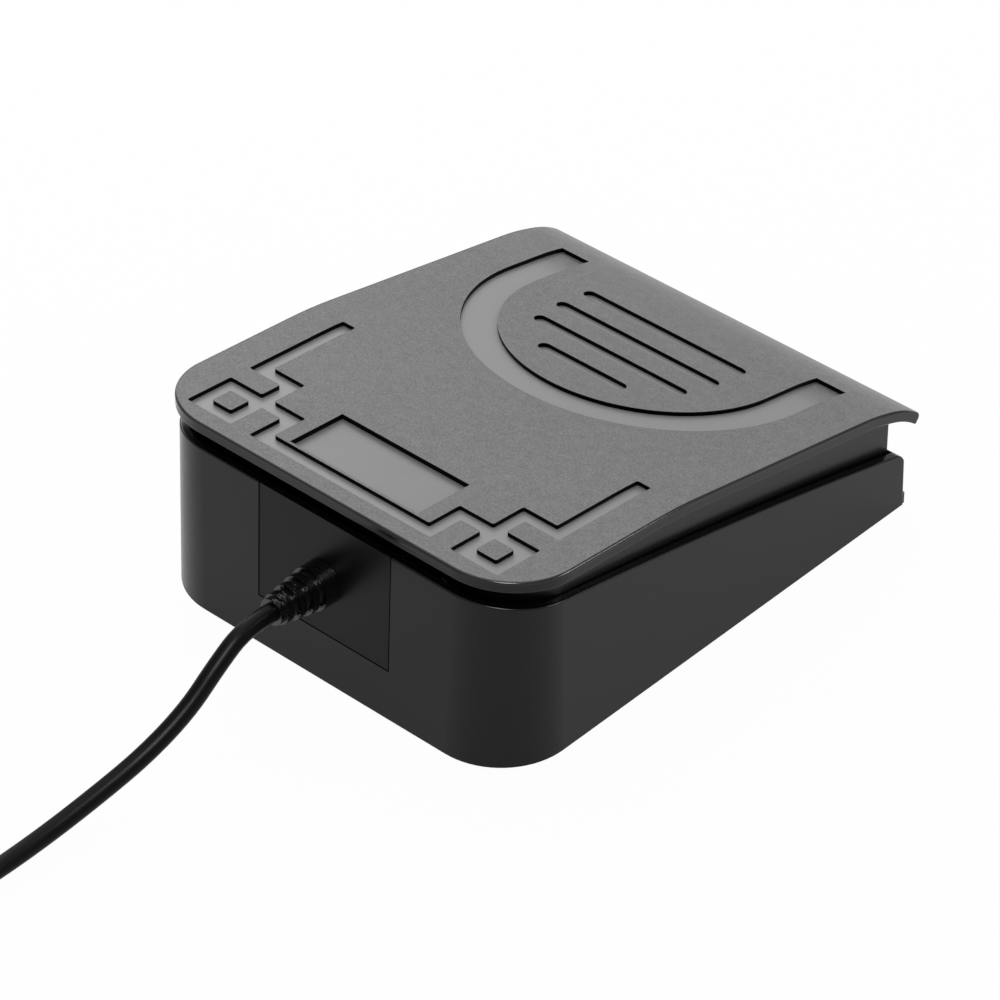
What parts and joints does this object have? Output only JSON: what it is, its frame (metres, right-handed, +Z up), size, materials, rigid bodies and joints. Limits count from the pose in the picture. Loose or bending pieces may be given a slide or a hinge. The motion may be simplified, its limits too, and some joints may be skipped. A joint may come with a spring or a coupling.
{
  "type": "usb foot pedal switch",
  "caption": "Black foot pedal switch with a textured, relief-patterned tread plate on a low housing, a ribbed strain relief and a USB cable put away in a coil.",
  "frame": {"origin": "middle of the housing's footprint, on the surface that the feet stand on", "axes": "+Z up, +Y towards the cable end, -Y towards the low end that the toe presses"},
  "size_m": [0.1168, 0.2661, 0.0468],
  "materials": {
    "tread": "fine-textured matte black plastic",
    "frame_plastic": "smooth satin black plastic",
    "housing": "fine-grained satin black plastic",
    "relief_rubber": "glossy black moulded rubber",
    "cable_jacket": "smooth black cable jacket",
    "foot_rubber": "matte black rubber",
    "steel": "plain zinc-plated steel",
    "spring_steel": "bright drawn spring wire",
    "switch_case": "black moulded switch case",
    "switch_cap_red": "red moulded plastic",
    "board_green": "green solder mask",
    "chip_black": "black epoxy",
    "tin": "tinned metal",
    "connector_white": "white nylon",
    "ceramic": "tan ceramic chip",
    "wire_red": "red wire insulation",
    "wire_white": "white wire insulation",
    "wire_green": "green wire insulation",
    "wire_black": "black wire insulation",
    "plug_plastic": "black overmould",
    "gold": "gold-plated contact"
  },
  "bodies": {
    "base": {"axle_clips": "spring_steel", "base_shell": "housing", "black_wire": "wire_black", "board_screws": "steel", "bottom_cover": "housing", "cable_clamp": "steel", "cable_coil": "cable_jacket", "cable_header": "connector_white", "cable_panel": "housing", "cable_plug": "connector_white", "chip_leads": "tin", "chip_parts": "ceramic", "circuit_board": "board_green", "clamp_screws": "steel", "coil_tie": "plug_plastic", "common_wire": "wire_red", "contact_wire": "wire_black", "controller_chip": "chip_black", "cover_screws": "steel", "crystal": "tin", "front_left_foot": "foot_rubber", "front_right_foot": "foot_rubber", "green_wire": "wire_green", "hinge_axle": "steel", "inner_cable": "cable_jacket", "left_bump_stop": "foot_rubber", "left_spring": "spring_steel", "plug_contacts": "gold", "plug_grip": "plug_plastic", "plug_shell": "tin", "plug_tongue": "connector_white", "rear_left_foot": "foot_rubber", "rear_right_foot": "foot_rubber", "red_wire": "wire_red", "right_bump_stop": "foot_rubber", "right_spring": "spring_steel", "strain_relief": "relief_rubber", "switch_body": "switch_case", "switch_cap": "switch_cap_red", "switch_header": "connector_white", "switch_plug": "connector_white", "switch_screws": "steel", "switch_terminals": "tin", "usb_cable": "cable_jacket", "white_wire": "wire_white"},
    "pedal": {"pedal_plate": "tread", "pedal_frame": "frame_plastic", "plate_screws": "steel"},
    "lever": {"switch_lever": "spring_steel"},
    "plunger": {"switch_plunger": "connector_white"}
  },
  "joints": [
    {"name": "pedal_hinge", "type": "hinge", "parent": "base", "child": "pedal", "pos_m": [0, 0.04952, 0.0338], "axis": [1, 0, 0], "range_deg": [0, 3.5], "stiffness_Nm_per_rad": 6, "springref_deg": -1.15, "deforming": ["left_spring", "right_spring"]},
    {"name": "lever_hinge", "type": "hinge", "parent": "base", "child": "lever", "pos_m": [0, 0.019, 0.026], "axis": [1, 0, 0], "range_deg": [0, 9]},
    {"name": "plunger_slide", "type": "slide", "parent": "base", "child": "plunger", "axis": [0, 0, -1], "range_m": [0, 0.00065]}
  ],
  "couplings": [
    {"joint": "lever_hinge", "follows": "pedal_hinge", "ratio": 2.526},
    {"joint": "plunger_slide", "follows": "pedal_hinge", "m_per_rad": 0.01006}
  ]
}
